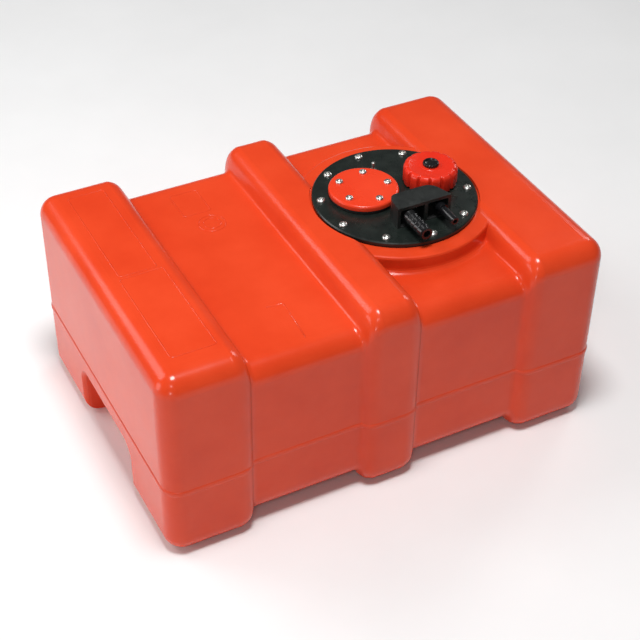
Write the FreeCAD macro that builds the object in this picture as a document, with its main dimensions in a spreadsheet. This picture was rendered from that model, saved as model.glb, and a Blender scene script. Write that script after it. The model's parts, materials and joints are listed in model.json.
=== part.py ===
import FreeCAD, Part
import Sketcher
import math
import os
import re
from FreeCAD import Vector, Placement, Rotation

# Portable fuel tank, 500 x 350 x 230 mm, with a top plate that carries the
# level sender, the filler neck and the outlet block.
# Frame: +X along the long side, -Y the front, +Z up, origin at the centre of
# the footprint. Millimetres.

doc = FreeCAD.newDocument("fuel_tank")
sheet = doc.addObject("Spreadsheet::Sheet", "sheet")
sheet.Label = "sheet"

DIMS = [
    # tank moulding
    ("len_half", 249.2), ("wid_half", 174.2), ("tank_high", 230.0),
    ("bead_out", 0.8), ("bead_tall", 2.6), ("part_line", 86.9),
    ("wall", 4.5), ("wall_shift", 3.0), ("corner_rad", 21.0), ("end_round", 20.0),
    ("outer_rib_edge", 161.0), ("mid_rib_edge", 25.0),
    ("top_sink", 23.5), ("side_sink", 9.2), ("base_sink", 11.8),
    ("run_a", 11.7), ("run_b", 6.5), ("run_c", 2.0), ("run_d", -1.0), ("run_e", -3.55),
    ("run_f", -6.16), ("run_g", -7.5), ("run_i", -9.3), ("run_j", -11.9),
    ("frac_b", 0.0370), ("frac_c", 0.1410), ("frac_d", 0.2660), ("frac_e", 0.4740),
    ("frac_f", 0.8216), ("frac_g", 0.9180), ("frac_i", 0.9750),
    ("grip_half", 68.0), ("grip_deep", 38.0), ("grip_tall", 64.0), ("grip_round", 16.0), ("grip_lip", 6.0),
    # boss and plate stack
    ("plate_x", 93.0), ("plate_y", 0.0),
    ("boss_rad", 105.5), ("boss_top", 225.5), ("boss_foot", 196.0), ("boss_edge", 2.5),
    ("seat_rad", 91.0), ("seat_over", 12.0), ("flange_low", 210.2), ("hollow_rad", 99.0), ("flange_rad", 96.5),
    ("access_rad", 72.5),
    ("bolt_ring", 79.3), ("insert_rad", 3.75), ("insert_long", 12.0), ("insert_bore", 2.55), ("insert_room", 3.82),
    ("gasket_rad", 87.5), ("gasket_in", 73.5), ("gasket_thick", 2.0), ("gasket_hole", 3.0),
    ("plate_rad", 88.5), ("plate_thick", 4.0), ("plate_edge", 1.2), ("plate_hole", 2.8),
    ("head_rad", 4.6), ("head_tall", 2.5), ("shank_rad", 2.45), ("shank_long", 16.0), ("socket_rad", 1.75), ("socket_deep", 1.5),
    # level sender
    ("send_x", 62.5), ("send_y", 13.6), ("send_hole", 19.0), ("send_rad", 37.6), ("send_thick", 6.5), ("send_edge", 2.6),
    ("ring_rad", 35.6), ("ring_in", 19.2), ("ring_thick", 4.0),
    ("send_ring", 27.0), ("send_bolt_hole", 2.8), ("send_tap", 2.5), ("send_shank", 14.2), ("send_head", 4.3),
    ("stem_rad", 4.0), ("stem_disc", 15.0), ("house_half_x", 13.0), ("house_half_y", 10.0), ("house_low", 105.0),
    ("house_top", 140.0), ("house_slot", 4.0), ("slot_top", 136.0), ("pivot_z", 118.0), ("pin_rad", 2.0), ("pin_half", 11.5),
    ("hub_rad", 6.0), ("hub_half", 3.6), ("hub_bore", 2.05), ("arm_rad", 1.75), ("arm_reach", 110.0),
    ("float_mid", 92.0), ("float_rad", 14.0), ("float_half", 18.0), ("float_bore", 1.8), ("clip_rad", 4.0), ("clip_thick", 2.0),
    ("stud_x", 92.9), ("stud_y", 47.2), ("stud_rad", 1.9), ("stud_top", 244.0), ("nut_rad", 3.9),
    # filler
    ("fill_x", 139.2), ("fill_y", 5.2), ("fill_hole", 20.3), ("neck_rad", 20.0), ("neck_bore", 16.5), ("neck_flange", 22.5),
    ("neck_top", 247.0), ("neck_low", 214.5), ("thread_rad", 21.6), ("thread_pitch", 4.0), ("neck_nut_rad", 24.5), ("neck_nut_in", 20.1),
    ("cap_rad", 29.3), ("cap_in", 23.0), ("cap_low", 233.4), ("cap_top", 252.5), ("cap_ceiling", 249.6), ("cap_edge", 1.8),
    ("flute_ring", 31.2), ("flute_rad", 3.2), ("vent_hole", 3.35), ("vent_seat", 5.5), ("vent_stem", 3.0), ("vent_rad", 8.8), ("vent_top", 256.0),
    ("seal_low", 247.0), ("seal_top", 248.8), ("liner_rad", 22.3), ("liner_hole", 4.0),
    # outlet block
    ("block_low", 232.5), ("block_top", 256.0), ("block_roof", 3.5), ("cell_back", -44.0), ("spig_z", 244.0),
    ("fuel_x", -15.0), ("vent_x", 22.0), ("chamber_back", -33.0), ("spig_start", -38.2), ("fuel_bore", 4.0), ("fuel_root", 6.0), ("fuel_barb", 7.3),
    ("vent_bore", 2.4), ("vent_root", 4.5), ("vent_collar", 5.8), ("ring_out", 1.5), ("pipe_y", -35.5), ("pipe_rad", 3.5), ("pipe_bore", 2.5), ("pipe_low", 28.0),
    ("sieve_rad", 9.0), ("sieve_low", 20.0), ("sieve_top", 50.0),
]
VAL = {}
for row, (alias, number) in enumerate(DIMS, 1):
    sheet.set("A%d" % row, alias)
    sheet.set("B%d" % row, repr(number))
    sheet.setAlias("B%d" % row, alias)
    VAL[alias] = number
doc.recompute()


def value(expr):
    """Number of an expression over the sheet's aliases."""
    e = re.sub(r"sheet\.([a-z_0-9]+)", lambda m: "(%r)" % VAL[m.group(1)], str(expr))
    if not re.fullmatch(r"[-+*/(). 0-9e]*", e):
        raise ValueError(expr)
    return _calc(e)


def _calc(text):
    """Value of a plain arithmetic text: + - * / and brackets."""
    toks = re.findall(r"\d+\.?\d*(?:e-?\d+)?|[-+*/()]", text)
    pos = [0]

    def peek():
        return toks[pos[0]] if pos[0] < len(toks) else None

    def take():
        pos[0] += 1
        return toks[pos[0] - 1]

    def atom():
        k = take()
        if k == "(":
            v = total()
            take()
            return v
        if k == "-":
            return -atom()
        if k == "+":
            return atom()
        return float(k)

    def product():
        v = atom()
        while peek() in ("*", "/"):
            if take() == "*":
                v *= atom()
            else:
                v /= atom()
        return v

    def total():
        v = product()
        while peek() in ("+", "-"):
            if take() == "+":
                v += product()
            else:
                v -= product()
        return v

    return total()


def plane(body, role):
    for f in body.Origin.OriginFeatures:
        if f.Role == role:
            return f
    raise RuntimeError(role)


def new_body(name, x=None, y=None, z=None):
    b = doc.addObject("PartDesign::Body", name)
    b.Label = name
    b.AllowCompound = True
    for axis, e in (("x", x), ("y", y), ("z", z)):
        if e is not None:
            b.setExpression("Placement.Base.%s" % axis, e)
    return b


def new_sketch(body, name, role, offset=None):
    sk = body.newObject("Sketcher::SketchObject", name)
    sk.AttachmentSupport = (plane(body, role), [""])
    sk.MapMode = "FlatFace"
    if offset is not None:
        sk.setExpression("AttachmentOffset.Base.z", offset)
    return sk


C = Sketcher.Constraint


def bind(sk, constraint, expr):
    i = sk.addConstraint(constraint)
    sk.setExpression("Constraints[%d]" % i, expr)


def bind_point(sk, geo, pos, ex, ey):
    """Fixes a sketch point at two expressions from the sketch origin."""
    vx, vy = value(ex), value(ey)
    if abs(vx) < 1e-9:
        sk.addConstraint(C("PointOnObject", geo, pos, -2))
    elif vx > 0:
        bind(sk, C("DistanceX", -1, 1, geo, pos, vx), ex)
    else:
        bind(sk, C("DistanceX", geo, pos, -1, 1, -vx), "-(%s)" % ex)
    if abs(vy) < 1e-9:
        sk.addConstraint(C("PointOnObject", geo, pos, -1))
    elif vy > 0:
        bind(sk, C("DistanceY", -1, 1, geo, pos, vy), ey)
    else:
        bind(sk, C("DistanceY", geo, pos, -1, 1, -vy), "-(%s)" % ey)


def polygon(sk, points):
    """Closed outline through points given as pairs of expressions."""
    first = len(sk.Geometry)
    pts = [Vector(value(a), value(b), 0) for a, b in points]
    n = len(pts)
    sk.addGeometry([Part.LineSegment(pts[i], pts[(i + 1) % n]) for i in range(n)], False)
    sk.addConstraint([C("Coincident", first + i, 2, first + (i + 1) % n, 1) for i in range(n)])
    for i, (a, b) in enumerate(points):
        bind_point(sk, first + i, 1, a, b)


def circle(sk, ex, ey, er):
    g = sk.addGeometry(Part.Circle(Vector(value(ex), value(ey), 0), Vector(0, 0, 1), value(er)), False)
    bind(sk, C("Radius", g, value(er)), er)
    vx, vy = value(ex), value(ey)
    if abs(vx) < 1e-9 and abs(vy) < 1e-9:
        sk.addConstraint(C("Coincident", g, 3, -1, 1))
    else:
        bind_point(sk, g, 3, ex, ey)
    return g


def rounded_rect(sk, hw, z0, z1, r):
    """Rounded rectangle, half width hw, from z0 to z1, corner radius r."""
    w, b, t, q = (value(e) for e in (hw, z0, z1, r))

    def v(x, y):
        return Vector(x, y, 0)

    up = Vector(0, 0, 1)
    sk.addGeometry([
        Part.LineSegment(v(-w + q, b), v(w - q, b)),
        Part.ArcOfCircle(Part.Circle(v(w - q, b + q), up, q), -math.pi / 2, 0),
        Part.LineSegment(v(w, b + q), v(w, t - q)),
        Part.ArcOfCircle(Part.Circle(v(w - q, t - q), up, q), 0, math.pi / 2),
        Part.LineSegment(v(w - q, t), v(-w + q, t)),
        Part.ArcOfCircle(Part.Circle(v(-w + q, t - q), up, q), math.pi / 2, math.pi),
        Part.LineSegment(v(-w, t - q), v(-w, b + q)),
        Part.ArcOfCircle(Part.Circle(v(-w + q, b + q), up, q), math.pi, 1.5 * math.pi)], False)
    sk.addConstraint([C("Tangent", i, 2, (i + 1) % 8, 1) for i in range(8)])
    sk.addConstraint([C("Horizontal", 0), C("Vertical", 2), C("Horizontal", 4), C("Vertical", 6)])
    bind(sk, C("Radius", 1, q), r)
    sk.addConstraint([C("Equal", 1, 3), C("Equal", 1, 5), C("Equal", 1, 7)])
    bind(sk, C("DistanceX", -1, 1, 2, 1, w), hw)
    bind(sk, C("DistanceX", 6, 1, -1, 1, w), hw)
    if abs(b) < 1e-9:
        sk.addConstraint(C("PointOnObject", 0, 1, -1))
    elif b > 0:
        bind(sk, C("DistanceY", -1, 1, 0, 1, b), z0)
    else:
        bind(sk, C("DistanceY", 0, 1, -1, 1, -b), "-(%s)" % z0)
    bind(sk, C("DistanceY", -1, 1, 4, 1, t), z1)


def fine(feature):
    bad = [s for s in feature.State if s in ("Invalid", "Error")]
    if bad or feature.Shape.isNull() or not feature.Shape.isValid():
        raise RuntimeError("%s failed: %s" % (feature.Name, feature.State))
    return feature


def loft(body, name, sketches, ruled, cut=False):
    f = body.newObject("PartDesign::SubtractiveLoft" if cut else "PartDesign::AdditiveLoft", name)
    f.Profile = (sketches[0], [""])
    f.Sections = [(s, [""]) for s in sketches[1:]]
    f.Ruled = ruled
    doc.recompute()
    return fine(f)


def pad(body, sk, name, length, reverse=False, mid=False):
    f = body.newObject("PartDesign::Pad", name)
    f.Profile = (sk, [""])
    f.setExpression("Length", length)
    f.Reversed = reverse
    f.Midplane = mid
    doc.recompute()
    return fine(f)


def pocket(body, sk, name, length=None, reverse=False, mid=False):
    """Cuts, and stops if nothing was removed."""
    before = body.Shape.Volume
    f = body.newObject("PartDesign::Pocket", name)
    f.Profile = (sk, [""])
    if length is None:
        f.Type = 1
    else:
        f.setExpression("Length", length)
    f.Reversed = reverse
    f.Midplane = mid
    doc.recompute()
    fine(f)
    if not 0.2 * before < body.Shape.Volume < before - 1e-3:
        raise RuntimeError("%s cut nothing or too much" % name)
    return f


def turn(body, name, points, role="XZ_Plane"):
    """Solid of revolution about Z from an outline of (radius, height) expressions."""
    sk = new_sketch(body, name + "_outline", role)
    polygon(sk, points)
    f = body.newObject("PartDesign::Revolution", name)
    f.Profile = (sk, [""])
    f.ReferenceAxis = (sk, ["V_Axis"])
    f.Angle = 360
    doc.recompute()
    return fine(f)


def fillet(body, base, edges, radius, name):
    if not edges:
        raise RuntimeError("%s has no edges" % name)
    f = body.newObject("PartDesign::Fillet", name)
    f.Base = (base, edges)
    f.setExpression("Radius", radius)
    doc.recompute()
    return fine(f)


def polar(body, name, originals, count):
    f = body.newObject("PartDesign::PolarPattern", name)
    f.Originals = originals
    f.Axis = (plane(body, "Z_Axis"), [""])
    f.Angle = 360
    f.setExpression("Occurrences", count)
    body.Tip = f
    doc.recompute()
    return fine(f)


def edges_where(shape, test):
    return ["Edge%d" % (i + 1) for i, e in enumerate(shape.Edges) if test(e.BoundBox)]


S = "sheet."
PARTS = []

# ---------------------------------------------------------------- tank shell
# The moulding is a stack of rounded sections along X: three ribs that wrap
# round the tank, two channels between them, and an S-shaped wall between each
# rib and channel.


def section(body, name, x, frac, grow="0"):
    sk = new_sketch(body, name, "YZ_Plane", x)
    rounded_rect(sk,
                 "sheet.wid_half - sheet.side_sink * %s + %s" % (frac, grow),
                 "sheet.base_sink * %s - (%s)" % (frac, grow),
                 "sheet.tank_high - sheet.top_sink * %s + %s" % (frac, grow),
                 "sheet.corner_rad + %s" % grow)
    return sk


RUN = [("sheet.run_a", "0"), ("sheet.run_b", "sheet.frac_b"), ("sheet.run_c", "sheet.frac_c"),
       ("sheet.run_d", "sheet.frac_d"), ("sheet.run_e", "sheet.frac_e"), ("sheet.run_f", "sheet.frac_f"),
       ("sheet.run_g", "sheet.frac_g"), ("sheet.run_i", "sheet.frac_i"), ("sheet.run_j", "1")]


def outer_tank(body, tag, grow="0", shift="0"):
    def wall(k, sign, edge, rib_side):
        out = []
        for i, (run, frac) in enumerate(RUN):
            x = "%s * (%s %s (%s + %s))" % (sign, edge, "+" if rib_side > 0 else "-", run, shift)
            out.append(section(body, "%s_w%d_%d" % (tag, k, i), x, frac, grow))
        return out
    # every wall list runs from its rib to its channel
    w1 = wall(1, "-1", "sheet.outer_rib_edge", 1)
    w2 = wall(2, "-1", "sheet.mid_rib_edge", -1)
    w3 = wall(3, "1", "sheet.mid_rib_edge", -1)
    w4 = wall(4, "1", "sheet.outer_rib_edge", 1)
    left = section(body, tag + "_end_left", "-(sheet.len_half + %s)" % grow, "0", grow)
    right = section(body, tag + "_end_right", "sheet.len_half + %s" % grow, "0", grow)
    loft(body, tag + "_rib_mid", [w2[0], w3[0]], True)
    loft(body, tag + "_wall_2", w2, False)
    loft(body, tag + "_wall_3", w3, False)
    loft(body, tag + "_channel_left", [w2[-1], w1[-1]], True)
    loft(body, tag + "_channel_right", [w3[-1], w4[-1]], True)
    loft(body, tag + "_wall_1", w1, False)
    loft(body, tag + "_wall_4", w4, False)
    loft(body, tag + "_rib_left", [w1[0], left], True)
    f = loft(body, tag + "_rib_right", [w4[0], right], True)
    for side, x in (("left", -VAL["len_half"] - value(grow)), ("right", VAL["len_half"] + value(grow))):
        ed = edges_where(f.Shape, lambda bb: abs(bb.XMin - x) < 0.01 and abs(bb.XMax - x) < 0.01)
        f = fillet(body, f, ed, "sheet.end_round + %s" % grow, "%s_round_%s" % (tag, side))
    return f



def boolean(kind, name, shapes=None, base=None, tool=None):
    f = doc.addObject(kind, name)
    f.Label = name
    if shapes:
        f.Shapes = shapes
    else:
        f.Base, f.Tool = base, tool
    doc.recompute()
    return fine(f)


def ring(radius, count, start, cx="0", cy="0"):
    """Centres evenly round a circle, as pairs of expressions."""
    out = []
    for k in range(count):
        a = math.radians(start + 360.0 * k / count)
        out.append(("%s + %s * (%.6f)" % (cx, radius, math.cos(a)), "%s + %s * (%.6f)" % (cy, radius, math.sin(a))))
    return out


def castle(crest, root, count, share):
    """Notched round outline: notches take the given share of each pitch."""
    out = []
    for k in range(count):
        for frac, rad in ((0.0, crest), (0.5 - share / 2, crest), (1.0 - share, crest), (1.0 - share, root), (1.0, root)):
            a = 2 * math.pi * (k + frac) / count
            out.append(("(%s) * (%.6f)" % (rad, math.cos(a)), "(%s) * (%.6f)" % (rad, math.sin(a))))
    return out


def discs(body, name, centres, radius, offset, role="XY_Plane"):
    sk = new_sketch(body, name, role, offset)
    for a, b in centres:
        circle(sk, a, b, radius)
    return sk


def drill(body, name, centres, radius, offset="0"):
    """Through holes cut both ways from a sketch across the body."""
    sk = discs(body, name + "_holes", centres, radius, offset)
    return pocket(body, sk, name, "200", mid=True)


def done(obj, label):
    obj.Label = label
    PARTS.append((label, obj))


BOLTS = ring("sheet.bolt_ring", 10, 54.4)
SENDER = ring("sheet.send_ring", 5, 63.5)
SENDER_ON_PLATE = ring("sheet.send_ring", 5, 63.5, "sheet.send_x - sheet.plate_x", "sheet.send_y - sheet.plate_y")

outer = new_body("tank_outer")
outer_tank(outer, "outer")
bead_skin = new_body("bead_skin")
outer_tank(bead_skin, "bead", "sheet.bead_out", "0")
bead_band = doc.addObject("Part::Box", "bead_band")
bead_band.setExpression("Length", "2 * sheet.len_half + 20")
bead_band.setExpression("Width", "2 * sheet.wid_half + 20")
bead_band.setExpression("Height", "sheet.bead_tall")
bead_band.setExpression("Placement.Base.x", "-sheet.len_half - 10")
bead_band.setExpression("Placement.Base.y", "-sheet.wid_half - 10")
bead_band.setExpression("Placement.Base.z", "sheet.part_line - sheet.bead_tall / 2")
doc.recompute()
bead = boolean("Part::Common", "bead", base=bead_skin, tool=bead_band)

# round boss with a concave foot
boss = new_body("boss", "sheet.plate_x", "sheet.plate_y", "sheet.boss_top")
turn(boss, "boss_solid", [
    ("0", "-29.5"), ("sheet.boss_rad + 6", "-29.5"), ("sheet.boss_rad + 6", "-19"), ("sheet.boss_rad + 3.7", "-18.5"),
    ("sheet.boss_rad + 1.8", "-17.2"), ("sheet.boss_rad + 0.5", "-15.4"), ("sheet.boss_rad", "-13"),
    ("sheet.boss_rad", "-sheet.boss_edge"), ("sheet.boss_rad - sheet.boss_edge * 0.3", "-sheet.boss_edge * 0.3"),
    ("sheet.boss_rad - sheet.boss_edge", "0"), ("0", "0")])

# seat, access hole and insert bores, as one cutter
cutter = new_body("seat_cutter", "sheet.plate_x", "sheet.plate_y", "sheet.boss_top")
turn(cutter, "seat_space", [
    ("0", "-30"), ("sheet.access_rad", "-30"), ("sheet.access_rad", "0"), ("sheet.seat_rad", "0"),
    ("sheet.seat_rad", "sheet.seat_over"), ("0", "sheet.seat_over")])
sk = discs(cutter, "bore_circles", BOLTS, "sheet.insert_room", "0")
pad(cutter, sk, "bores", "sheet.insert_long + 0.1", reverse=True)

# the space inside, a wall's thickness in from the skin
hollow = new_body("hollow_skin")
outer_tank(hollow, "inner", "(-sheet.wall)", "sheet.wall_shift")
under = new_body("under_boss", "sheet.plate_x", "sheet.plate_y", "0")
turn(under, "under_space", [("0", "190"), ("sheet.hollow_rad", "190"), ("sheet.hollow_rad", "sheet.flange_low"), ("0", "sheet.flange_low")])
keep = new_body("flange_keep", "sheet.plate_x", "sheet.plate_y", "0")
turn(keep, "flange_block", [("0", "sheet.flange_low"), ("sheet.flange_rad", "sheet.flange_low"), ("sheet.flange_rad", "240"), ("0", "240")])


def grip(tag, sign, steps):
    b = new_body("grip_" + tag)
    sks = []
    for i, (x, g) in enumerate(steps):
        k = new_sketch(b, "grip_%s_%d" % (tag, i), "YZ_Plane", "%s * (%s)" % (sign, x))
        rounded_rect(k, "sheet.grip_half + %s" % g, "-30", "sheet.grip_tall + %s" % g, "sheet.grip_round + %s" % g)
        sks.append(k)
    loft(b, "grip_%s_solid" % tag, sks, True)
    return b


SPACE = [("sheet.len_half - sheet.grip_deep", "(-5)"), ("sheet.len_half - sheet.grip_deep + 1.6", "(-1.8)"),
         ("sheet.len_half - sheet.grip_deep + 5", "0"), ("sheet.len_half - 7", "0"), ("sheet.len_half - 4", "0.7"),
         ("sheet.len_half - 1.6", "2.4"), ("sheet.len_half + 0.1", "5"), ("sheet.len_half + 10", "5.5")]
KEEP = [("sheet.len_half - sheet.grip_deep - sheet.wall", "sheet.wall"), ("sheet.len_half + 10", "sheet.wall")]
grips = [grip("left", "-1", SPACE), grip("right", "1", SPACE)]
grip_keep = [grip("keep_left", "-1", KEEP), grip("keep_right", "1", KEEP)]

solid = boolean("Part::MultiFuse", "tank_solid", shapes=[outer, bead, boss])
space = boolean("Part::MultiFuse", "space_all", shapes=[hollow, under])
held = boolean("Part::MultiFuse", "space_blocks", shapes=[keep] + grip_keep)
inside = boolean("Part::Cut", "fuel_space", base=space, tool=held)
cuts = boolean("Part::MultiFuse", "all_cuts", shapes=[inside, cutter] + grips)
shell = boolean("Part::Cut", "tank_shell", base=solid, tool=cuts)
done(shell, "tank_shell")

# ---------------------------------------------------------------- plate stack
b = new_body("threaded_inserts", "sheet.plate_x", "sheet.plate_y", "sheet.boss_top")
pad(b, discs(b, "insert_circles", BOLTS, "sheet.insert_rad", "0"), "insert_solid", "sheet.insert_long", reverse=True)
drill(b, "insert_bores", BOLTS, "sheet.insert_bore")
done(b, "threaded_inserts")

b = new_body("plate_gasket", "sheet.plate_x", "sheet.plate_y", "sheet.boss_top")
turn(b, "gasket_ring", [("sheet.gasket_in", "0"), ("sheet.gasket_rad", "0"), ("sheet.gasket_rad", "sheet.gasket_thick"), ("sheet.gasket_in", "sheet.gasket_thick")])
drill(b, "gasket_holes", BOLTS, "sheet.gasket_hole")
done(b, "plate_gasket")

PLATE_LOW = "sheet.boss_top + sheet.gasket_thick"
PLATE_TOP = "sheet.boss_top + sheet.gasket_thick + sheet.plate_thick"
FILL = ("sheet.fill_x - sheet.plate_x", "sheet.fill_y - sheet.plate_y")
BLOCK_SCREWS = [("-3", "sheet.pipe_y"), ("11", "sheet.pipe_y")]
b = new_body("mounting_plate", "sheet.plate_x", "sheet.plate_y", PLATE_LOW)
turn(b, "plate_disc", [("0", "0"), ("sheet.plate_rad", "0"), ("sheet.plate_rad", "sheet.plate_thick - sheet.plate_edge"),
                       ("sheet.plate_rad - sheet.plate_edge", "sheet.plate_thick"), ("0", "sheet.plate_thick")])
drill(b, "plate_bolt_holes", BOLTS, "sheet.plate_hole")
drill(b, "sender_opening", [("sheet.send_x - sheet.plate_x", "sheet.send_y - sheet.plate_y")], "sheet.send_hole")
drill(b, "sender_taps", SENDER_ON_PLATE, "sheet.send_tap")
drill(b, "filler_opening", [FILL], "sheet.fill_hole")
drill(b, "pipe_opening", [("sheet.fuel_x", "sheet.pipe_y")], "sheet.pipe_rad + 0.3")
drill(b, "vent_opening", [("sheet.vent_x", "sheet.pipe_y")], "2")
drill(b, "block_openings", BLOCK_SCREWS, "2.4")
drill(b, "stud_opening", [("sheet.stud_x - sheet.plate_x", "sheet.stud_y - sheet.plate_y")], "sheet.stud_rad + 0.3")
done(b, "mounting_plate")


def domed(label, x, y, z, centres, head, tall, shank, long, start="0"):
    """Domed socket screws, heads up, head underside at z."""
    b = new_body(label, x, y, z)
    h = pad(b, discs(b, label + "_heads", centres, head, "0"), label + "_head", tall)
    top = VAL["head_tall"]
    z0 = value(z)
    ed = ["Edge%d" % (i + 1) for i, e in enumerate(h.Shape.Edges)
          if abs(e.BoundBox.ZMin - top) < 0.01 and e.BoundBox.ZMax - e.BoundBox.ZMin < 0.01]
    fillet(b, h, ed, tall + " * 0.85", label + "_dome")
    pad(b, discs(b, label + "_shanks", centres, shank, "0"), label + "_shank", long, reverse=True)
    pocket(b, discs(b, label + "_sockets", centres, "sheet.socket_rad", tall), label + "_socket", "sheet.socket_deep")
    done(b, label)


domed("plate_screws", "sheet.plate_x", "sheet.plate_y", PLATE_TOP, BOLTS, "sheet.head_rad", "sheet.head_tall", "sheet.shank_rad", "sheet.shank_long")

# --------------------------------------------------------------- level sender
b = new_body("sender_gasket", "sheet.send_x", "sheet.send_y", PLATE_TOP)
turn(b, "ring_solid", [("sheet.ring_in", "0"), ("sheet.ring_rad", "0"), ("sheet.ring_rad", "sheet.ring_thick"), ("sheet.ring_in", "sheet.ring_thick")])
drill(b, "ring_holes", SENDER, "sheet.send_bolt_hole")
done(b, "sender_gasket")

COVER_LOW = PLATE_TOP + " + sheet.ring_thick"
b = new_body("sender_cover", "sheet.send_x", "sheet.send_y", COVER_LOW)
f = turn(b, "cover_disc", [("0", "0"), ("sheet.send_rad", "0"), ("sheet.send_rad", "sheet.send_thick"), ("0", "sheet.send_thick")])
ed = ["Edge%d" % (i + 1) for i, e in enumerate(f.Shape.Edges)
      if abs(e.BoundBox.ZMin - VAL["send_thick"]) < 0.01 and e.BoundBox.XMax > VAL["send_rad"] - 0.1]
fillet(b, f, ed, "sheet.send_edge", "cover_edge")
drill(b, "cover_holes", SENDER, "sheet.send_bolt_hole")
done(b, "sender_cover")
domed("sender_screws", "sheet.send_x", "sheet.send_y", COVER_LOW + " + sheet.send_thick", SENDER, "sheet.send_head", "sheet.head_tall", "2.4", "sheet.send_shank")

b = new_body("sender_stem", "sheet.send_x", "sheet.send_y", "0")
turn(b, "stem_solid", [("0", "sheet.house_top"), ("sheet.stem_rad", "sheet.house_top"), ("sheet.stem_rad", COVER_LOW + " - 3"),
                       ("sheet.stem_disc", COVER_LOW + " - 3"), ("sheet.stem_disc", COVER_LOW), ("0", COVER_LOW)])
done(b, "sender_stem")

b = new_body("sender_housing", "sheet.send_x", "sheet.send_y", "0")
sk = new_sketch(b, "house_side", "YZ_Plane", "0")
HH = "sheet.house_half_y"
polygon(sk, [("-" + HH, "sheet.house_low"), ("-sheet.house_slot", "sheet.house_low"), ("-sheet.house_slot", "sheet.slot_top"),
             ("sheet.house_slot", "sheet.slot_top"), ("sheet.house_slot", "sheet.house_low"), (HH, "sheet.house_low"),
             (HH, "sheet.house_top"), ("-" + HH, "sheet.house_top")])
pad(b, sk, "house_solid", "2 * sheet.house_half_x", mid=True)
sk = new_sketch(b, "house_bore_sketch", "XZ_Plane", "0")
circle(sk, "0", "sheet.pivot_z", "sheet.pin_rad + 0.02")
pocket(b, sk, "house_bore", "60", mid=True)
done(b, "sender_housing")

b = new_body("sender_pivot_pin", "sheet.send_x", "sheet.send_y", "0")
sk = new_sketch(b, "pin_circle", "XZ_Plane", "0")
circle(sk, "0", "sheet.pivot_z", "sheet.pin_rad")
pad(b, sk, "pin_solid", "2 * sheet.pin_half", mid=True)
done(b, "sender_pivot_pin")

# the arm, float and clip are drawn along -X from the pivot and hang 55 degrees
# down at rest, with the tank empty
DOWN = Rotation(Vector(0, 1, 0), -55)


def hung(label):
    b = new_body(label, "sheet.send_x", "sheet.send_y", "sheet.pivot_z")
    b.Placement = Placement(Vector(VAL["send_x"], VAL["send_y"], VAL["pivot_z"]), DOWN)
    return b


b = hung("float_arm")
sk = new_sketch(b, "hub_circle", "XZ_Plane", "0")
circle(sk, "0", "0", "sheet.hub_rad")
pad(b, sk, "hub_solid", "2 * sheet.hub_half", mid=True)
sk = new_sketch(b, "rod_circle", "YZ_Plane", "0")
circle(sk, "0", "0", "sheet.arm_rad")
pad(b, sk, "rod_solid", "sheet.arm_reach", reverse=True)
sk = new_sketch(b, "collar_circle", "YZ_Plane", "-(sheet.float_mid - sheet.float_rad - 2.2)")
circle(sk, "0", "0", "sheet.clip_rad")
pad(b, sk, "collar_solid", "2", reverse=False)
sk = new_sketch(b, "hub_bore_circle", "XZ_Plane", "0")
circle(sk, "0", "0", "sheet.hub_bore")
pocket(b, sk, "hub_hole", "60", mid=True)
done(b, "float_arm")

b = hung("float")
sk = new_sketch(b, "float_circle", "XZ_Plane", "0")
circle(sk, "-sheet.float_mid", "0", "sheet.float_rad")
f = pad(b, sk, "float_solid", "2 * sheet.float_half", mid=True)
fillet(b, f, edges_where(f.Shape, lambda q: abs(q.YMax - q.YMin) < 0.01), "2.5", "float_edges")
sk = new_sketch(b, "float_bore_circle", "YZ_Plane", "0")
circle(sk, "0", "0", "sheet.float_bore")
pocket(b, sk, "float_hole", "300", mid=True)
done(b, "float")

b = hung("float_retainer")
sk = new_sketch(b, "clip_circle", "YZ_Plane", "-(sheet.float_mid + sheet.float_rad + 0.2)")
circle(sk, "0", "0", "sheet.clip_rad")
circle(sk, "0", "0", "sheet.float_bore")
pad(b, sk, "clip_solid", "sheet.clip_thick", reverse=True)
done(b, "float_retainer")

b = new_body("sender_terminal", "sheet.stud_x", "sheet.stud_y", "0")
turn(b, "stud_solid", [("0", "223"), ("sheet.stud_rad + 2.2", "223"), ("sheet.stud_rad + 2.2", PLATE_LOW), ("sheet.stud_rad", PLATE_LOW),
                       ("sheet.stud_rad", "sheet.stud_top - 0.5"), ("sheet.stud_rad - 0.5", "sheet.stud_top"), ("0", "sheet.stud_top")])
done(b, "sender_terminal")
b = new_body("terminal_nut", "sheet.stud_x", "sheet.stud_y", PLATE_TOP)
sk = new_sketch(b, "nut_hex", "XY_Plane", "0")
polygon(sk, ring("sheet.nut_rad", 6, 0))
circle(sk, "0", "0", "sheet.stud_rad + 0.05")
pad(b, sk, "nut_solid", "3.2")
done(b, "terminal_nut")

# --------------------------------------------------------------------- filler
b = new_body("neck_gasket", "sheet.fill_x", "sheet.fill_y", PLATE_TOP)
turn(b, "neck_gasket_solid", [("sheet.neck_rad + 0.3", "0"), ("sheet.neck_flange", "0"), ("sheet.neck_flange", "1"), ("sheet.neck_rad + 0.3", "1")])
done(b, "neck_gasket")

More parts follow.
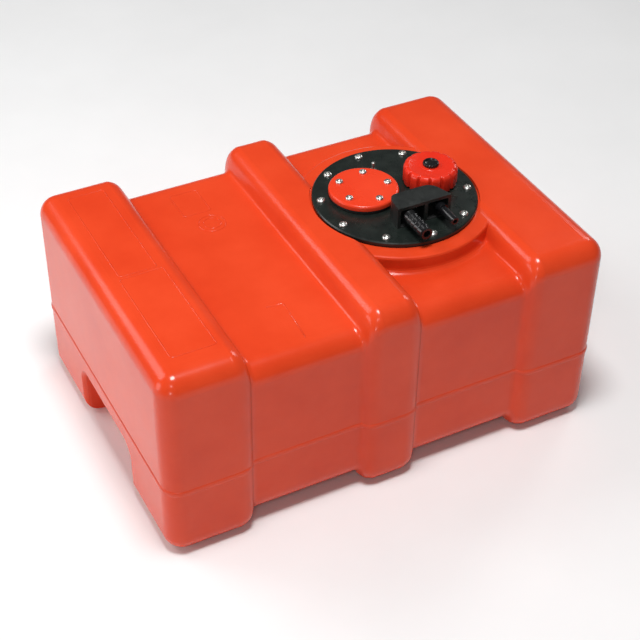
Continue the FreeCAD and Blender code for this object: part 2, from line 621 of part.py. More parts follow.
b = new_body("filler_neck", "sheet.fill_x", "sheet.fill_y", "0")
turn(b, "neck_solid", [("sheet.neck_bore", "sheet.neck_low"), ("sheet.neck_rad", "sheet.neck_low"), ("sheet.neck_rad", PLATE_TOP + " + 1"),
                       ("sheet.neck_flange", PLATE_TOP + " + 1"), ("sheet.neck_flange", PLATE_TOP + " + 3"), ("sheet.neck_rad", PLATE_TOP + " + 3"),
                       ("sheet.neck_rad", "sheet.neck_top"), ("sheet.neck_bore", "sheet.neck_top")])
sk = new_sketch(b, "thread_outline", "XZ_Plane")
polygon(sk, [("sheet.neck_rad - 0.6", "237.2"), ("sheet.neck_rad - 0.6", "239.6"), ("sheet.thread_rad", "238.8"), ("sheet.thread_rad", "238.0")])
h = b.newObject("PartDesign::AdditiveHelix", "neck_thread")
h.Profile = (sk, [""])
h.ReferenceAxis = (sk, ["V_Axis"])
h.Mode = 0
h.setExpression("Pitch", "sheet.thread_pitch")
h.Height = 5.6
doc.recompute()
fine(h)
done(b, "filler_neck")

b = new_body("neck_nut", "sheet.fill_x", "sheet.fill_y", PLATE_LOW)
sk = new_sketch(b, "nut_outline", "XY_Plane", "0")
polygon(sk, castle("sheet.neck_nut_rad", "sheet.neck_nut_rad - 2", 8, 0.3))
circle(sk, "0", "0", "sheet.neck_nut_in")
pad(b, sk, "neck_nut_solid", "7", reverse=True)
done(b, "neck_nut")

b = new_body("filler_cap", "sheet.fill_x", "sheet.fill_y", "0")
turn(b, "cap_solid", [("sheet.cap_in", "sheet.cap_low"), ("sheet.cap_rad", "sheet.cap_low"), ("sheet.cap_rad", "sheet.cap_top - sheet.cap_edge"),
                      ("sheet.cap_rad - sheet.cap_edge * 0.3", "sheet.cap_top - sheet.cap_edge * 0.3"), ("sheet.cap_rad - sheet.cap_edge", "sheet.cap_top"),
                      ("sheet.vent_seat", "sheet.cap_top"), ("sheet.vent_seat", "sheet.cap_top - 1.6"), ("sheet.vent_hole", "sheet.cap_top - 1.6"),
                      ("sheet.vent_hole", "sheet.cap_ceiling"), ("sheet.cap_in", "sheet.cap_ceiling")])
sk = discs(b, "flute_circles", ring("sheet.flute_ring", 14, 8), "sheet.flute_rad", "sheet.cap_low - 1")
pocket(b, sk, "flutes", "sheet.cap_top - sheet.cap_low - 2.6", reverse=True)
done(b, "filler_cap")

b = new_body("cap_liner", "sheet.fill_x", "sheet.fill_y", "sheet.seal_top")
turn(b, "liner_solid", [("sheet.liner_hole", "0"), ("sheet.liner_rad", "0"), ("sheet.liner_rad", "sheet.cap_ceiling - sheet.seal_top"), ("sheet.liner_hole", "sheet.cap_ceiling - sheet.seal_top")])
done(b, "cap_liner")
b = new_body("cap_seal", "sheet.fill_x", "sheet.fill_y", "sheet.seal_low")
turn(b, "seal_solid", [("sheet.neck_bore + 0.3", "0"), ("sheet.neck_rad + 1.2", "0"), ("sheet.neck_rad + 1.2", "sheet.seal_top - sheet.seal_low"), ("sheet.neck_bore + 0.3", "sheet.seal_top - sheet.seal_low")])
done(b, "cap_seal")

b = new_body("vent_o_ring", "sheet.fill_x", "sheet.fill_y", "sheet.cap_top - 1.5")
turn(b, "vent_ring_solid", [("sheet.vent_stem + 0.05", "0.3"), ("sheet.vent_stem + 0.4", "0"), ("4.9", "0"), ("5.15", "0.3"),
                            ("5.15", "1.2"), ("4.9", "1.5"), ("sheet.vent_stem + 0.4", "1.5"), ("sheet.vent_stem + 0.05", "1.2")])
done(b, "vent_o_ring")

b = new_body("vent_knob", "sheet.fill_x", "sheet.fill_y", "0")
sk = new_sketch(b, "knob_outline", "XY_Plane", "sheet.cap_top")
polygon(sk, castle("sheet.vent_rad", "sheet.vent_rad - 0.7", 12, 0.35))
f = pad(b, sk, "knob_solid", "sheet.vent_top - sheet.cap_top")
pad(b, discs(b, "knob_stem_circle", [("0", "0")], "sheet.vent_stem", "sheet.cap_top"), "knob_stem", "6.9", reverse=True)
done(b, "vent_knob")

# --------------------------------------------------------------- outlet block
OUTLINE = [("-16", "-30"), ("15.5", "-30"), ("19.5", "-30.6"), ("23.3", "-32.4"), ("26.6", "-35.6"), ("29", "-40.3"), ("34.5", "-56.5"),
           ("-28.8", "-56.5"), ("-27.2", "-40.8"), ("-25.8", "-36.8"), ("-24", "-33"), ("-21", "-30.7")]
b = new_body("outlet_manifold", "sheet.plate_x", "sheet.plate_y", "sheet.block_low")
sk = new_sketch(b, "block_outline", "XY_Plane", "0")
polygon(sk, OUTLINE)
f = pad(b, sk, "block_solid", "sheet.block_top - sheet.block_low")
sk = new_sketch(b, "cell_outline", "XY_Plane", "0")
polygon(sk, [("-25.6", "-70"), ("3", "-70"), ("3", "sheet.cell_back"), ("-24.6", "sheet.cell_back")])
polygon(sk, [("7", "-70"), ("34", "-70"), ("28.4", "sheet.cell_back"), ("7", "sheet.cell_back")])
pocket(b, sk, "cells", "sheet.block_top - sheet.block_low - sheet.block_roof", reverse=True)
for nm, x, r in (("fuel", "sheet.fuel_x", "sheet.fuel_root + 0.05"), ("vent", "sheet.vent_x", "sheet.vent_root + 0.05")):
    sk = new_sketch(b, nm + "_bore_circle", "XZ_Plane", "-(sheet.chamber_back)")
    circle(sk, x, "sheet.spig_z - sheet.block_low", r)
    pocket(b, sk, nm + "_bore_cut", "40", reverse=True)
sk = discs(b, "pipe_bore_circle", [("sheet.fuel_x", "sheet.pipe_y")], "sheet.pipe_rad + 0.05", "0")
pocket(b, sk, "pipe_bore_cut", "5.2", reverse=True)
sk = discs(b, "pipe_way_circle", [("sheet.fuel_x", "sheet.pipe_y"), ("sheet.vent_x", "sheet.pipe_y")], "2", "0")
pocket(b, sk, "ways", "11", reverse=True)
sk = discs(b, "block_screw_circles", BLOCK_SCREWS, "2.1", "0")
pocket(b, sk, "block_taps", "9", reverse=True)
done(b, "outlet_manifold")

b = new_body("manifold_gasket", "sheet.plate_x", "sheet.plate_y", PLATE_TOP)
sk = new_sketch(b, "sheet_outline", "XY_Plane", "0")
polygon(sk, OUTLINE)
pad(b, sk, "sheet_solid", "1")
drill(b, "sheet_pipe_hole", [("sheet.fuel_x", "sheet.pipe_y")], "sheet.pipe_rad + 0.3")
drill(b, "sheet_small_holes", [("sheet.vent_x", "sheet.pipe_y")] + BLOCK_SCREWS, "2.3")
done(b, "manifold_gasket")

b = new_body("manifold_screws", "sheet.plate_x", "sheet.plate_y", PLATE_LOW)
pad(b, discs(b, "block_screw_heads", BLOCK_SCREWS, "3.8", "0"), "block_screw_head", "2.8", reverse=True)
pad(b, discs(b, "block_screw_shanks", BLOCK_SCREWS, "2.02", "0"), "block_screw_shank", "13")
pocket(b, discs(b, "block_screw_sockets", BLOCK_SCREWS, "1.5", "-2.8"), "block_screw_socket", "1.6", reverse=True)
done(b, "manifold_screws")


def facing_front(label, x, points, y="sheet.spig_start"):
    """Turned part whose axis points out of the front, -Y."""
    b = new_body(label, "sheet.plate_x + " + x, "sheet.plate_y + " + y, "sheet.spig_z")
    b.Placement = Placement(Vector(value("sheet.plate_x + " + x), value("sheet.plate_y + " + y), VAL["spig_z"]), Rotation(Vector(1, 0, 0), 90))
    turn(b, label + "_solid", points)
    done(b, label)


barbs = [("sheet.fuel_root", "0"), ("sheet.fuel_root", "17.8")]
for k in range(5):
    y0 = 17.8 + 6.6 * k
    barbs += [("sheet.fuel_barb", "%.1f" % (y0 + 0.4)), ("sheet.fuel_barb", "%.1f" % (y0 + 1.2)), ("sheet.fuel_root - 0.3", "%.1f" % (y0 + 6.4))]
facing_front("fuel_spigot", "sheet.fuel_x", [("sheet.fuel_bore", "0")] + barbs + [("sheet.fuel_root + 0.3", "53.8"), ("sheet.fuel_bore", "53.8")])
facing_front("vent_spigot", "sheet.vent_x", [
    ("sheet.vent_bore", "0"), ("sheet.vent_root", "0"), ("sheet.vent_root", "7.4"), ("sheet.vent_collar", "7.4"), ("sheet.vent_collar", "24.3"),
    ("sheet.vent_root", "24.3"), ("sheet.vent_root", "46.8"), ("sheet.vent_root - 0.8", "47.8"), ("sheet.vent_bore", "47.8")])

b = new_body("spigot_o_rings", "sheet.plate_x", "sheet.plate_y", "sheet.spig_z")
sk = new_sketch(b, "o_ring_circles", "XZ_Plane", "-(sheet.cell_back)")
for x, r in (("sheet.fuel_x", "sheet.fuel_root"), ("sheet.vent_x", "sheet.vent_root")):
    circle(sk, x, "0", r + " + 0.05")
    circle(sk, x, "0", r + " + sheet.ring_out")
pad(b, sk, "o_ring_solid", "1.4")
done(b, "spigot_o_rings")

b = new_body("pickup_tube", "sheet.plate_x + sheet.fuel_x", "sheet.plate_y + sheet.pipe_y", "0")
turn(b, "pipe_solid", [("sheet.pipe_bore", "sheet.pipe_low"), ("sheet.pipe_rad", "sheet.pipe_low"), ("sheet.pipe_rad", "sheet.block_low + 5.0"), ("sheet.pipe_bore", "sheet.block_low + 5.0")])
done(b, "pickup_tube")
b = new_body("pickup_strainer", "sheet.plate_x + sheet.fuel_x", "sheet.plate_y + sheet.pipe_y", "0")
turn(b, "sieve_solid", [("0", "sheet.sieve_low"), ("sheet.sieve_rad", "sheet.sieve_low"), ("sheet.sieve_rad", "sheet.sieve_top"), ("sheet.pipe_rad + 0.04", "sheet.sieve_top"),
                        ("sheet.pipe_rad + 0.04", "sheet.sieve_top - 3"), ("sheet.sieve_rad - 1.5", "sheet.sieve_top - 3"), ("sheet.sieve_rad - 1.5", "sheet.sieve_low + 2"), ("0", "sheet.sieve_low + 2")])
done(b, "pickup_strainer")

# ---------------------------------------------------------------------- write
doc.recompute()
for obj in doc.Objects:
    if "Invalid" in obj.State or "Error" in obj.State:
        raise RuntimeError("bad state: %s %s" % (obj.Name, obj.State))
for label, obj in PARTS:
    if obj.Shape.isNull() or not obj.Shape.isValid():
        raise RuntimeError("bad shape: " + label)
os.makedirs("parts", exist_ok=True)
for label, obj in PARTS:
    obj.Shape.exportStep("parts/%s.step" % label)
    bb = obj.Shape.BoundBox
    print("%-18s n=%d vol=%.0f  x %.2f..%.2f y %.2f..%.2f z %.2f..%.2f" % (label, len(obj.Shape.Solids), obj.Shape.Volume, bb.XMin, bb.XMax, bb.YMin, bb.YMax, bb.ZMin, bb.ZMax))
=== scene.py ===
import bpy
import bmesh
import json
import math
from mathutils import Matrix, Vector


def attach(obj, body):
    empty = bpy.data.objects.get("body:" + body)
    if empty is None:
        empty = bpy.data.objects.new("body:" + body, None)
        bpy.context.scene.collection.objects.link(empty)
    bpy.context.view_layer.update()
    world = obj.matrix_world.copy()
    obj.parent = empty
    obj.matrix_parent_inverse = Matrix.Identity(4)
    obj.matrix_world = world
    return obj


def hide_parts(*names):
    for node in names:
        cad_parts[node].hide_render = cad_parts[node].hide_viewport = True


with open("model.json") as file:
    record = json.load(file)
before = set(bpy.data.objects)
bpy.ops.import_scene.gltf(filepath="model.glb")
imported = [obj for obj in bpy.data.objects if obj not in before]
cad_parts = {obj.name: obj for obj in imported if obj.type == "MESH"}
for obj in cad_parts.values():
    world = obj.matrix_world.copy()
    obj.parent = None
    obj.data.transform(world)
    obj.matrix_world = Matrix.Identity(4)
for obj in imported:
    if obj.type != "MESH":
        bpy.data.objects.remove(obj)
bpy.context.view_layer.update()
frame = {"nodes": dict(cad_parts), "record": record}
NODES = frame["nodes"]


def mm(v):
    return v / 1000.0


# ------------------------------------------------------------------ materials
class Mat:
    """A procedural finish: colour, roughness and relief all vary with place."""

    def __init__(self, name):
        self.m = bpy.data.materials.new(name)
        self.m.use_nodes = True
        self.t = self.m.node_tree
        for n in list(self.t.nodes):
            self.t.nodes.remove(n)
        self.out = self.t.nodes.new("ShaderNodeOutputMaterial")
        self.p = self.t.nodes.new("ShaderNodeBsdfPrincipled")
        self.t.links.new(self.p.outputs["BSDF"], self.out.inputs["Surface"])
        self.co = self.t.nodes.new("ShaderNodeTexCoord")
        self.last_bump = None

    def noise(self, scale, detail=4.0, rough=0.55, stretch=(1, 1, 1)):
        mp = self.t.nodes.new("ShaderNodeMapping")
        mp.inputs["Scale"].default_value = stretch
        self.t.links.new(self.co.outputs["Object"], mp.inputs["Vector"])
        n = self.t.nodes.new("ShaderNodeTexNoise")
        n.inputs["Scale"].default_value = scale
        n.inputs["Detail"].default_value = detail
        n.inputs["Roughness"].default_value = rough
        self.t.links.new(mp.outputs["Vector"], n.inputs["Vector"])
        return n.outputs["Fac"]

    def ramp(self, fac, stops):
        r = self.t.nodes.new("ShaderNodeValToRGB")
        el = r.color_ramp.elements
        el[0].position, el[1].position = stops[0][0], stops[-1][0]
        el[0].color, el[1].color = stops[0][1], stops[-1][1]
        for pos, col in stops[1:-1]:
            e = el.new(pos)
            e.color = col
        self.t.links.new(fac, r.inputs["Fac"])
        return r.outputs["Color"]

    def colour(self, dark, mid, light, scale, stretch=(1, 1, 1)):
        f = self.noise(scale, 5.0, 0.6, stretch)
        c = self.ramp(f, [(0.30, dark + (1,)), (0.5, mid + (1,)), (0.70, light + (1,))])
        self.t.links.new(c, self.p.inputs["Base Color"])

    def rough(self, low, high, scale, stretch=(1, 1, 1)):
        f = self.noise(scale, 6.0, 0.6, stretch)
        r = self.t.nodes.new("ShaderNodeMapRange")
        r.inputs["From Min"].default_value = 0.3
        r.inputs["From Max"].default_value = 0.7
        r.inputs["To Min"].default_value = low
        r.inputs["To Max"].default_value = high
        self.t.links.new(f, r.inputs["Value"])
        self.t.links.new(r.outputs["Result"], self.p.inputs["Roughness"])

    def bump(self, scale, depth_mm, detail=3.0, stretch=(1, 1, 1)):
        f = self.noise(scale, detail, 0.5, stretch)
        b = self.t.nodes.new("ShaderNodeBump")
        b.inputs["Strength"].default_value = 1.0
        b.inputs["Distance"].default_value = mm(depth_mm)
        self.t.links.new(f, b.inputs["Height"])
        if self.last_bump is not None:
            self.t.links.new(self.last_bump, b.inputs["Normal"])
        self.last_bump = b.outputs["Normal"]
        self.t.links.new(self.last_bump, self.p.inputs["Normal"])

    def set(self, **kw):
        for k, v in kw.items():
            self.p.inputs[k.replace("_", " ")].default_value = v


def red(name, dark, mid, light, low, high, peel):
    m = Mat(name)
    m.colour(dark, mid, light, 9.0)
    m.rough(low, high, 38.0)
    m.bump(260.0, peel, 1.0)
    m.bump(45.0, peel * 1.2, 1.0)
    m.set(Specular_IOR_Level=0.30, Subsurface_Weight=0.02, Subsurface_Scale=0.003, Coat_Weight=0.05, Coat_Roughness=0.14)
    m.p.inputs["Subsurface Radius"].default_value = (1.0, 0.25, 0.12)
    return m.m


def plain(name, dark, mid, light, low, high, grain_scale, grain, metal=0.0, stretch=(1, 1, 1)):
    m = Mat(name)
    m.colour(dark, mid, light, 60.0, stretch)
    m.rough(low, high, 140.0, stretch)
    m.bump(grain_scale, grain, 3.0, stretch)
    m.set(Metallic=metal)
    return m.m


M = {
    "red_shell": red("moulded_red", (0.655, 0.046, 0.011), (0.70, 0.055, 0.014), (0.74, 0.064, 0.018), 0.19, 0.27, 0.018),
    "red_cap": red("cap_red", (0.62, 0.020, 0.008), (0.70, 0.028, 0.011), (0.75, 0.038, 0.014), 0.22, 0.34, 0.02),
    "red_cover": red("cover_red", (0.66, 0.034, 0.010), (0.73, 0.046, 0.014), (0.77, 0.056, 0.018), 0.24, 0.34, 0.02),
    "black_plate": plain("plate_black", (0.006, 0.009, 0.008), (0.010, 0.014, 0.012), (0.016, 0.021, 0.018), 0.24, 0.36, 1500.0, 0.02),
    "black_block": plain("block_black", (0.006, 0.007, 0.007), (0.010, 0.012, 0.011), (0.016, 0.018, 0.017), 0.34, 0.5, 1400.0, 0.035),
    "black_pipe": plain("pipe_black", (0.004, 0.004, 0.005), (0.008, 0.008, 0.009), (0.014, 0.014, 0.014), 0.17, 0.27, 700.0, 0.006),
    "rubber": plain("rubber_black", (0.004, 0.004, 0.004), (0.008, 0.008, 0.008), (0.013, 0.013, 0.013), 0.55, 0.72, 1800.0, 0.04),
    "steel": plain("stainless", (0.60, 0.60, 0.57), (0.70, 0.70, 0.67), (0.78, 0.78, 0.75), 0.30, 0.42, 900.0, 0.004, 1.0, (1, 1, 7)),
    "brass": plain("brass_turned", (0.50, 0.33, 0.11), (0.62, 0.43, 0.16), (0.72, 0.53, 0.23), 0.20, 0.36, 900.0, 0.012, 1.0, (1, 1, 7)),
    "white_plastic": plain("acetal", (0.60, 0.59, 0.54), (0.70, 0.69, 0.64), (0.76, 0.75, 0.70), 0.34, 0.48, 1100.0, 0.02),
    "foam": plain("foam_black", (0.008, 0.008, 0.008), (0.014, 0.014, 0.014), (0.026, 0.026, 0.026), 0.75, 0.92, 700.0, 0.16),
    "mesh": plain("sieve_wire", (0.34, 0.34, 0.32), (0.46, 0.46, 0.44), (0.56, 0.56, 0.54), 0.30, 0.48, 2200.0, 0.08, 1.0),
}
SLOT = {e["node"]: e["material_slot"] for e in frame["record"]["subparts"]}
for name, o in NODES.items():
    o.data.materials.clear()
    o.data.materials.append(M[SLOT[name]])

# --------------------------------------------------- turned pieces in full detail
def hexed(th, across):
    """Radius of a hexagon, half its width across flats given, in direction th."""
    a = (th + math.pi / 6) % (math.pi / 3) - math.pi / 6
    return across / math.cos(a)


def lathe(name, loops, seg, mat, body, replaces=(), smooth=True, closed=False, at=(0, 0, 0), axis="Z"):
    """Rings swept round Z at several places, in mm: each loop is [(radius or function of angle, z), ...].
    An open loop starts or ends on the axis with radius 0; a closed one is joined end to start."""
    bm = bmesh.new()
    for loop, centre in loops:
        rows = []
        for rad, z in loop:
            if not callable(rad) and rad == 0:
                rows.append([bm.verts.new(Vector((0, 0, z)))])
            else:
                ring = []
                for k in range(seg):
                    th = 2 * math.pi * k / seg
                    q = rad(th) if callable(rad) else rad
                    ring.append(bm.verts.new(Vector((q * math.cos(th), q * math.sin(th), z))))
                rows.append(ring)
        verts = [v for row in rows for v in row]
        pairs = list(zip(rows, rows[1:])) + ([(rows[-1], rows[0])] if closed else [])
        for a, c in pairs:
            for k in range(seg):
                j = (k + 1) % seg
                if len(a) == 1 and len(c) == 1:
                    continue
                if len(a) == 1:
                    bm.faces.new((a[0], c[k], c[j]))
                elif len(c) == 1:
                    bm.faces.new((a[k], a[j], c[0]))
                else:
                    bm.faces.new((a[k], a[j], c[j], c[k]))
        for v in verts:
            if axis == "-Y":
                v.co = Vector((v.co.x, -v.co.z, v.co.y))
            v.co = (v.co + Vector(centre) + Vector(at)) / 1000.0
    bmesh.ops.recalc_face_normals(bm, faces=bm.faces)
    me = bpy.data.meshes.new(name)
    bm.to_mesh(me)
    bm.free()
    for f in me.polygons:
        f.use_smooth = smooth
    me.set_sharp_from_angle(angle=math.radians(32))
    o = bpy.data.objects.new(name, me)
    bpy.context.collection.objects.link(o)
    me.materials.append(M[mat])
    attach(o, body)
    if replaces:
        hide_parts(*replaces)
    return o


def round_to(r0, z0, r1, z1, n, convex=True):
    """Quarter round between two profile points, without its first point."""
    out = []
    for i in range(1, n + 1):
        t = math.pi / 2 * i / n
        if convex:
            out.append((r0 + (r1 - r0) * (1 - math.cos(t)), z0 + (z1 - z0) * math.sin(t)))
        else:
            out.append((r0 + (r1 - r0) * math.sin(t), z0 + (z1 - z0) * (1 - math.cos(t))))
    return out


def screw(head, high, shank, length, socket, deep):
    """Domed hex-socket screw: z = 0 is the underside of the head."""
    pr = [(0, high - deep - 0.25)]
    pr += [(lambda th: hexed(th, socket) * 0.94, high - deep)]
    pr += [(lambda th: hexed(th, socket), high - 0.35), (lambda th: hexed(th, socket) + 0.16, high - 0.06)]
    n = 9
    top = socket + 0.75
    for i in range(n + 1):
        t = i / n
        pr.append((top + (head - top) * math.sin(t * math.pi / 2), (high - 0.02) * (0.10 + 0.90 * math.cos(t * math.pi / 2) ** 0.9) if t < 1 else high * 0.12))
    pr += [(head, 0.12), (head - 0.12, 0.0), (shank + 0.15, 0.0), (shank - 0.02, -0.3)]
    z = -1.2
    while z > -length + 1.0:
        pr += [(shank - 0.32, z), (shank - 0.02, z - 0.35), (shank - 0.02, z - 0.45)]
        z -= 0.8
    pr += [(shank - 0.5, -length), (0, -length)]
    return pr


def on_circle(cx, cy, rad, count, start):
    return [(cx + rad * math.cos(math.radians(start + 360.0 * k / count)), cy + rad * math.sin(math.radians(start + 360.0 * k / count)), 0) for k in range(count)]


PX, PY = 93.0, 0.0
one = screw(4.6, 2.5, 2.45, 16.0, 1.45, 1.35)
lathe("plate_screw_set", [(one, c) for c in on_circle(PX, PY, 79.3, 10, 54.4)], 48, "steel", "tank", ("plate_screws",), at=(0, 0, 231.5))
two = screw(4.3, 2.5, 2.4, 14.2, 1.4, 1.3)
lathe("sender_screw_set", [(two, c) for c in on_circle(62.5, 13.6, 27.0, 5, 63.5)], 48, "steel", "tank", ("sender_screws",), at=(0, 0, 242.0))

# filler cap: lobes between narrow notches round the rim, open underneath
LOBES = 14


def lobed(depth):
    def f(rad):
        def g(th):
            a = (th * LOBES / (2 * math.pi) - 8.0 * LOBES / 360.0) % 1.0
            a = min(a, 1 - a)
            k = max(0.0, 1.0 - a / 0.21)
            k = k * k * (3 - 2 * k)
            return rad - depth * k
        return g
    return f


full, part_, faint = lobed(2.6), lobed(2.5), lobed(1.9)
cap = [(23.0, 233.4), (full(28.5), 233.4), (full(29.1), 233.7), (full(29.28), 234.4), (full(29.2), 247.6), (full(29.0), 248.9), (part_(28.6), 250.0)]
cap += [(part_(28.0), 250.9), (faint(27.2), 251.7), (faint(26.4), 252.2), (24.2, 252.46), (23.4, 252.42), (22.9, 252.2), (12.0, 252.2), (11.6, 252.46), (9.6, 252.48), (5.7, 252.48)]
cap += [(5.5, 252.2), (5.5, 250.9), (3.35, 250.9), (3.35, 249.6), (22.6, 249.6), (23.0, 249.2)]
lathe("filler_cap_turned", [(cap, (0, 0, 0))], 336, "red_cap", "cap", ("filler_cap",), closed=True, at=(139.2, 5.2, 0))


def knurl(depth, count):
    def f(rad):
        return lambda th: rad - depth * (0.5 + 0.5 * math.cos(th * count)) ** 3
    return f


kn = knurl(0.6, 18)
knob = [(0, 245.7), (2.7, 245.7), (3.0, 246.0), (3.0, 252.52), (7.9, 252.52), (kn(8.4), 252.7), (kn(8.75), 253.1), (kn(8.75), 254.7), (kn(8.5), 255.4), (8.0, 255.82)]
knob += [(7.5, 255.97), (6.9, 255.9), (6.4, 255.5), (6.0, 254.7), (5.4, 254.35), (3.0, 254.25), (0, 254.25)]
lathe("vent_knob_turned", [(knob, (0, 0, 0))], 216, "black_pipe", "vent", ("vent_knob",), at=(139.2, 5.2, 0))

# sender disc with a rolled edge
disc = [(0, 235.5), (37.0, 235.5), (37.5, 235.9), (37.58, 236.6), (37.58, 239.2)]
disc += round_to(37.58, 239.2, 34.6, 241.95, 8) + [(33.6, 242.0), (0, 242.0)]
lathe("sender_cover_turned", [(disc, (0, 0, 0))], 160, "red_cover", "tank", ("sender_cover",), at=(62.5, 13.6, 0))

# ------------------------------------------------- moulding marks on the shell
def ridge(name, paths, z, width=1.6, high=0.5, closed=False):
    """Thin raised lines that a mould insert leaves: rounded ridges along flat paths, in mm."""
    bm = bmesh.new()
    prof = [(-0.5, -0.30), (-0.42, 0.25), (-0.2, 0.82), (0.0, 1.0), (0.2, 0.82), (0.42, 0.25), (0.5, -0.30)]
    for path in paths:
        pts = [Vector((a, b, 0)) for a, b in path]
        loop = closed or (pts[0] - pts[-1]).length < 1e-6
        if loop and (pts[0] - pts[-1]).length < 1e-6:
            pts = pts[:-1]
        n = len(pts)
        rows = []
        for i in range(n):
            a = pts[(i - 1) % n] if loop or i > 0 else pts[i]
            c = pts[(i + 1) % n] if loop or i < n - 1 else pts[i]
            d1 = (pts[i] - a).normalized() if (pts[i] - a).length > 1e-9 else None
            d2 = (c - pts[i]).normalized() if (c - pts[i]).length > 1e-9 else None
            d = ((d1 or d2) + (d2 or d1)).normalized()
            side = Vector((-d.y, d.x, 0))
            k = 1.0
            if d1 is not None and d2 is not None:
                k = 1.0 / max(0.5, abs(side.dot(Vector((-d1.y, d1.x, 0)))))
            rows.append([bm.verts.new(((pts[i] + side * (q * width * k)) / 1000.0) + Vector((0, 0, mm(z + h * high)))) for q, h in prof])
        m = len(prof)
        for i in range(n if loop else n - 1):
            j = (i + 1) % n
            for q in range(m):
                w = (q + 1) % m
                bm.faces.new((rows[i][q], rows[j][q], rows[j][w], rows[i][w]))
        if not loop:
            bm.faces.new(rows[0])
            bm.faces.new(list(reversed(rows[-1])))
    bmesh.ops.recalc_face_normals(bm, faces=bm.faces)
    me = bpy.data.meshes.new(name)
    bm.to_mesh(me)
    bm.free()
    for f in me.polygons:
        f.use_smooth = True
    o = bpy.data.objects.new(name, me)
    bpy.context.collection.objects.link(o)
    me.materials.append(M["red_shell"])
    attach(o, "tank")
    return o


def arc(cx, cy, rad, a0, a1, n):
    return [(cx + rad * math.cos(math.radians(a0 + (a1 - a0) * i / n)), cy + rad * math.sin(math.radians(a0 + (a1 - a0) * i / n))) for i in range(n + 1)]


def frame_line(x0, x1, y0, y1, rad):
    return (arc(x1 - rad, y1 - rad, rad, 0, 90, 8) + arc(x0 + rad, y1 - rad, rad, 90, 180, 8)
            + arc(x0 + rad, y0 + rad, rad, 180, 270, 8) + arc(x1 - rad, y0 + rad, rad, 270, 360, 8) + [(x1, y1 - rad)])


ridge("insert_lines_left_rib", [frame_line(-221, -181, -3, 147, 3), frame_line(-223, -176, -138, -7, 3)], 229.98)
ridge("insert_lines_channel", [frame_line(-111, -80, 93, 135, 2.5), [(-100, -84), (-83, -85), (-81.5, -86.5), (-85, -142)]], 206.48)
ridge("date_dials", [arc(-89, 70, 14.5, 0, 360, 64), arc(-89, 70, 9.5, 0, 360, 48)], 206.48, 1.3, 0.5)

def outline_at(node, z):
    """Outer outline of a CAD part at a height, as points in mm in order, turning anticlockwise."""
    bm = bmesh.new()
    bm.from_mesh(NODES[node].data)
    bm.transform(NODES[node].matrix_world)
    bmesh.ops.bisect_plane(bm, geom=bm.verts[:] + bm.edges[:] + bm.faces[:], plane_co=(0, 0, mm(z)), plane_no=(0, 0, 1), clear_inner=True, clear_outer=True)
    bmesh.ops.remove_doubles(bm, verts=bm.verts[:], dist=1e-6)
    left = set(bm.verts)
    best = []
    while left:
        v = min(left, key=lambda q: (round(q.co.x, 7), round(q.co.y, 7)))
        path = [v]
        left.discard(v)
        while True:
            step = [e.other_vert(path[-1]) for e in path[-1].link_edges if e.other_vert(path[-1]) in left]
            if not step:
                break
            path.append(step[0])
            left.discard(step[0])
        pts = [(q.co.x * 1000.0, q.co.y * 1000.0) for q in path]
        if len(pts) > 2 and max(a for a, b in pts) - min(a for a, b in pts) > (max(a for a, b in best) - min(a for a, b in best) if best else 0):
            best = pts
    bm.free()
    if sum(a[0] * b[1] - b[0] * a[1] for a, b in zip(best, best[1:] + best[:1])) < 0:
        best.reverse()
    kept = [best[0]]
    for q in best[1:]:
        if math.dist(q, kept[-1]) > 1.2:
            kept.append(q)
    return kept


def bead(name, pts, z):
    """A rounded band all round the shell. It starts just behind the outline it is given, so that no two faces coincide."""
    half = [(-0.08, 1.35), (-0.14, 1.9), (-0.28, 2.5), (-0.52, 3.0), (-0.85, 3.4), (-1.9, 3.7)]
    prof = half + [(-2.4, 0.0)] + [(q, -h) for q, h in reversed(half)]
    bm = bmesh.new()
    n = len(pts)
    rows = []
    for i in range(n):
        d = Vector(pts[(i + 1) % n]) - Vector(pts[(i - 1) % n])
        out = Vector((d.y, -d.x)).normalized()
        rows.append([bm.verts.new(((pts[i][0] + out.x * q) / 1000.0, (pts[i][1] + out.y * q) / 1000.0, mm(z + h))) for q, h in prof])
    m = len(prof)
    for i in range(n):
        for k in range(m):
            bm.faces.new((rows[i][k], rows[(i + 1) % n][k], rows[(i + 1) % n][(k + 1) % m], rows[i][(k + 1) % m]))
    bmesh.ops.recalc_face_normals(bm, faces=bm.faces)
    me = bpy.data.meshes.new(name)
    bm.to_mesh(me)
    bm.free()
    for f in me.polygons:
        f.use_smooth = True
    o = bpy.data.objects.new(name, me)
    bpy.context.collection.objects.link(o)
    me.materials.append(M["red_shell"])
    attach(o, "tank")
    return o


bead("parting_bead", outline_at("tank_shell", 86.9), 86.9)

# ------------------------------------------------------------------ the stage
bpy.ops.mesh.primitive_plane_add(size=12.0, location=(0, 0, -0.0001))
floor = bpy.context.object
floor.name = "floor"
fm = Mat("pale_floor")
fm.colour((0.86, 0.86, 0.86), (0.88, 0.88, 0.88), (0.90, 0.90, 0.90), 3.0)
fm.rough(0.75, 0.85, 12.0)
floor.data.materials.append(fm.m)

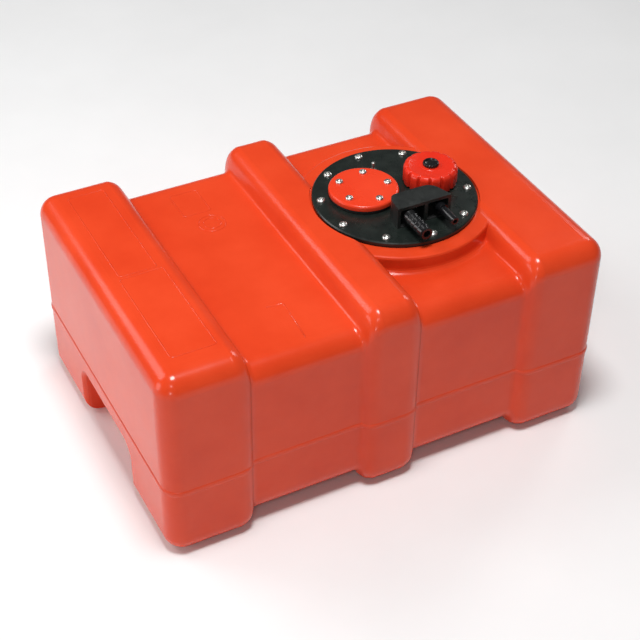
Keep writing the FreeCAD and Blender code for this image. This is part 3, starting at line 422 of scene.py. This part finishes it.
world = bpy.data.worlds.new("studio")
bpy.context.scene.world = world
world.use_nodes = True
bg = world.node_tree.nodes["Background"]
bg.inputs["Color"].default_value = (1, 1, 1, 1)
bg.inputs["Strength"].default_value = 0.08


def area(name, loc, target, size, power):
    d = bpy.data.lights.new(name, "AREA")
    d.shape = "DISK"
    d.size = size
    d.energy = power
    o = bpy.data.objects.new(name, d)
    bpy.context.collection.objects.link(o)
    o.location = loc
    o.rotation_euler = (Vector(target) - Vector(loc)).to_track_quat("-Z", "Y").to_euler()
    return o


area("key_overhead", (-0.18, -0.32, 2.12), (0, 0, 0.15), 0.55, 34)
area("back_left", (-1.2, 1.1, 1.5), (0, 0, 0.1), 1.2, 14)
area("left_low", (-2.0, 0.3, 0.55), (-0.2, 0, 0.1), 1.0, 9)
area("small_front", (-0.85, -1.35, 1.55), (0, 0, 0.15), 0.28, 3.6)
area("corner_glint", (-1.25, -1.80, 0.42), (0, 0, 0.18), 0.16, 4.2)
area("far_floor", (2.6, 1.6, 1.8), (1.2, 2.4, 0), 1.2, 26)

# ----------------------------------------------------------------- the camera
AZ, EL, ROLL = math.radians(-27.858118), math.radians(39.461507), math.radians(0.889474)
DIST, FOCAL = 1638.391, 1485.144
target = Vector((5.5439, 0, 90.0625))
back = Vector((math.sin(AZ) * math.cos(EL), -math.cos(AZ) * math.cos(EL), math.sin(EL)))
right = (-back).cross(Vector((0, 0, 1))).normalized()
up = right.cross(-back)
r = math.cos(ROLL) * right + math.sin(ROLL) * up
u = -math.sin(ROLL) * right + math.cos(ROLL) * up
place = (target + back * DIST) / 1000.0
rot = Matrix((r, u, back)).transposed().to_4x4()
cam_data = bpy.data.cameras.new("camera")
cam_data.sensor_fit = "HORIZONTAL"
cam_data.sensor_width = 36.0
cam_data.lens = FOCAL * 36.0 / 640.0
cam_data.clip_start, cam_data.clip_end = 0.05, 20.0
cam = bpy.data.objects.new("camera", cam_data)
bpy.context.collection.objects.link(cam)
cam.matrix_world = Matrix.Translation(place) @ rot
bpy.context.scene.camera = cam
bpy.context.scene.view_settings.view_transform = "Standard"

bpy.context.view_layer.update()
